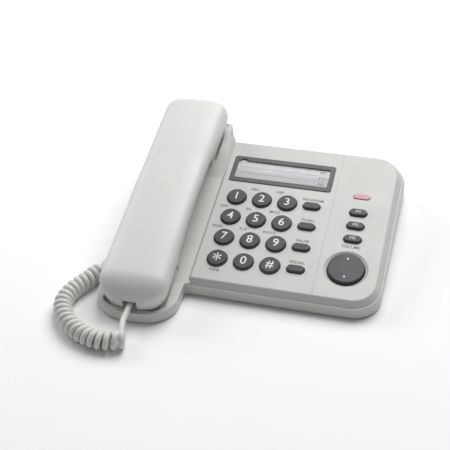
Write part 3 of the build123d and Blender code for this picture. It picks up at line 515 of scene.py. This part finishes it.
def make_handset(materials):
    upper = add_piece("handset_top_shell",
                      shell_mesh("handset_top_shell", spaced(*HANDSET_V, STATIONS)[1:-1], upper_ring),
                      "handset", materials["handset"])
    cut(upper, [block(HANDSET_U, -51.5, CORD_W, 10.0, 12.0, 7.2)])
    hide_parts("handset_upper")
    v0, v1 = HANDSET_V
    lower = add_piece("handset_bottom_shell",
                      shell_mesh("handset_bottom_shell", spaced(v0 + 1.0, v1 - 1.2, STATIONS), lower_ring),
                      "handset", materials["handset"])
    holes = [drum(HANDSET_U, EAR_V, -4.0, -1.7, 16.0, 64)]
    holes += rosette(HANDSET_U, EAR_V, ((4.5, 6), (8.5, 12)), 1.1, -3.0, -0.4)
    holes += rosette(HANDSET_U, MOUTH_V, ((3.4, 6),), 0.8, -4.0, -0.4)
    holes += [drum(HANDSET_U, v, 5.0, 9.45, 2.9) for v in SCREW_V]
    cut(lower, holes)
    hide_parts("handset_lower")


# ------------------------------------------------------------------------------------------ letters
PRINT_HEIGHT = 0.02


def lettering(name, words, body, material, height=0.03, weight=0.0):
    """Flat printed words as one mesh. Each is (text, u, v, w, size), centred on its place."""
    bm = bmesh.new()
    for text, u, v, w, size in words:
        curve = bpy.data.curves.new("word", "FONT")
        curve.body = text
        curve.size = size * MM
        curve.align_x, curve.align_y = "CENTER", "CENTER"
        curve.extrude = height * MM / 2
        curve.offset = weight * MM
        curve.resolution_u = 6
        holder = bpy.data.objects.new("word", curve)
        mesh = bpy.data.meshes.new_from_object(holder)
        mesh.transform(PANEL @ Matrix.Translation(Vector((u, v, w + height / 2)) * MM))
        bm.from_mesh(mesh)
        bpy.data.objects.remove(holder)
        bpy.data.curves.remove(curve)
        bpy.data.meshes.remove(mesh)
    joined = bpy.data.meshes.new(name)
    bm.to_mesh(joined)
    bm.free()
    return add_piece(name, joined, body, material, smooth=False)


KEY_PITCH = (19.0, 19.42)
KEY_TOP = 1.95
KEY_ROWS = (("star", "0", "hash"), ("7", "8", "9"), ("4", "5", "6"), ("1", "2", "3"))
KEY_LETTERS = {
    "2": "ABC", "3": "DEF", "4": "GHI", "5": "JKL",
    "6": "MNO", "7": "PQRS", "8": "TUV", "9": "WXYZ",
}
FUNCTION_U = 56.2
FUNCTIONS = ("REDIAL", "PAUSE", "FLASH", "PROGRAM")
MEMORY_U = 90.4
MEMORY_V = (57.7, 45.35, 33.0)
VOLUME_V = 6.5


def make_lettering(materials):
    small = []
    for row, names in enumerate(KEY_ROWS):
        for column, name in enumerate(names):
            u, v = column * KEY_PITCH[0], row * KEY_PITCH[1]
            mark = {"star": "*", "hash": "#"}.get(name, name)
            drop = 2.6 if name == "star" else 0.0
            size = 14.5 if name == "star" else 9.4
            lettering(f"numeral_{name}", [(mark, u, v - drop, KEY_TOP, size)], f"key_{name}",
                      materials["white_print"], weight=0.06)
            if name in KEY_LETTERS:
                small.append((KEY_LETTERS[name], u - 7.3, v + 9.7, 0.0, 3.2))
    for row, word in enumerate(FUNCTIONS):
        small.append((word, FUNCTION_U, row * KEY_PITCH[1] + 6.2, 0.0, 3.3))
    small.append(("VOLUME", MEMORY_U, VOLUME_V + 19.6, 0.0, 3.4))
    small.append(("TONE", 0.0, -10.2, 0.0, 2.9))
    lettering("panel_print", small, "base", materials["grey_print"],
              height=PRINT_HEIGHT, weight=0.05)
    for n, v in enumerate(MEMORY_V):
        lettering(f"memory_print_{n + 1}", [(f"M{n + 1}", MEMORY_U, v, KEY_TOP, 3.4)],
                  f"memory_key_{n + 1}", materials["white_print"], height=PRINT_HEIGHT)


# ------------------------------------------------------------------------------------------- details
def disc(u, v, w, radius, height, sides=24):
    """A low round pad on the panel, with a softened rim."""
    rings = ((radius, 0.0), (radius, height * 0.6), (radius * 0.8, height))
    points = [on_panel(u + r * math.cos(a), v + r * math.sin(a), w + h)
              for r, h in rings for a in (2 * math.pi * k / sides for k in range(sides))]
    faces = []
    for i in range(2):
        for k in range(sides):
            a, b = i * sides + k, i * sides + (k + 1) % sides
            faces.append((a, b, b + sides, a + sides))
    faces.append(tuple(reversed(range(sides))))
    faces.append(tuple(range(2 * sides, 3 * sides)))
    return points, faces


def join_discs(name, discs):
    points, faces = [], []
    for more_points, more_faces in discs:
        shift = len(points)
        points += more_points
        faces += [tuple(k + shift for k in face) for face in more_faces]
    return mesh_from(name, points, faces)


CARD_W = -0.6               # upper face of the card
CARD_U, CARD_V = 28.3, 86.8
ROW_PITCH = 5.8             # of the card's three rows
RULE_DOT, RULE_PITCH = 0.3, 1.2
ROCKER_TOP = 1.5


def make_card_print(materials):
    """Two dotted rules on the card and the memory keys' names at its right."""
    dots = []
    for v in (CARD_V + ROW_PITCH / 2, CARD_V - ROW_PITCH / 2):
        u = CARD_U - 33.0
        while u < CARD_U + 26.0:
            dots.append(disc(u, v, CARD_W, RULE_DOT, PRINT_HEIGHT, 8))
            u += RULE_PITCH
    rules = add_piece("card_rules", join_discs("card_rules", dots), "base", materials["grey_print"])
    rules.data.shade_flat()
    names = [(f"M{n + 1}", CARD_U + 30.2, CARD_V + ROW_PITCH * (1 - n), CARD_W, 4.0) for n in range(3)]
    lettering("card_print", names, "base", materials["grey_print"], height=PRINT_HEIGHT)


def make_rocker_marks(materials):
    """A raised dot near each end of the volume rocker."""
    marks = [disc(MEMORY_U, VOLUME_V + side * 7.8, ROCKER_TOP, 0.8, 0.25) for side in (-1, 1)]
    add_piece("rocker_marks", join_discs("rocker_marks", marks), "volume_rocker",
              materials["white_print"])


def finish_nodes(materials):
    """Every CAD node that shows takes the material of its slot."""
    slots = {part["node"]: part["material_slot"] for part in frame["record"]["subparts"]}
    for name, holder in NODES.items():
        holder.data.materials.clear()
        holder.data.materials.append(materials["rocker" if name == "volume_rocker" else slots[name]])


# --------------------------------------------------------------------------------- floor and lights
def make_stage():
    bm = bmesh.new()
    bmesh.ops.create_grid(bm, x_segments=2, y_segments=2, size=3.0)
    mesh = bpy.data.meshes.new("floor")
    bm.to_mesh(mesh)
    bm.free()
    floor = bpy.data.objects.new("floor", mesh)
    bpy.context.scene.collection.objects.link(floor)
    mesh.materials.append(surface("floor_paint", (0.93, 0.93, 0.93), vary=0.005, rough=(0.8, 0.9)))

    world = bpy.data.worlds.new("studio")
    world.use_nodes = True
    backdrop = world.node_tree.nodes["Background"]
    backdrop.inputs["Color"].default_value = (1.0, 1.0, 1.0, 1)
    backdrop.inputs["Strength"].default_value = 0.22
    bpy.context.scene.world = world

    def area_light(name, place, size, power):
        data = bpy.data.lights.new(name, "AREA")
        data.shape = "DISK"
        data.size = size
        data.energy = power
        light = bpy.data.objects.new(name, data)
        bpy.context.scene.collection.objects.link(light)
        light.location = place
        light.rotation_euler = (-Vector(place)).to_track_quat("-Z", "Y").to_euler()

    area_light("overhead", (0.26, 0.80, 1.30), 1.3, 24.0)
    area_light("left_fill", (-1.3, 0.5, 0.9), 0.9, 8.0)
    bpy.context.scene.view_settings.view_transform = "Standard"


make_camera()
materials = make_materials()
make_cord(materials)
make_handset(materials)
make_lettering(materials)
make_card_print(materials)
make_rocker_marks(materials)
finish_nodes(materials)
make_stage()
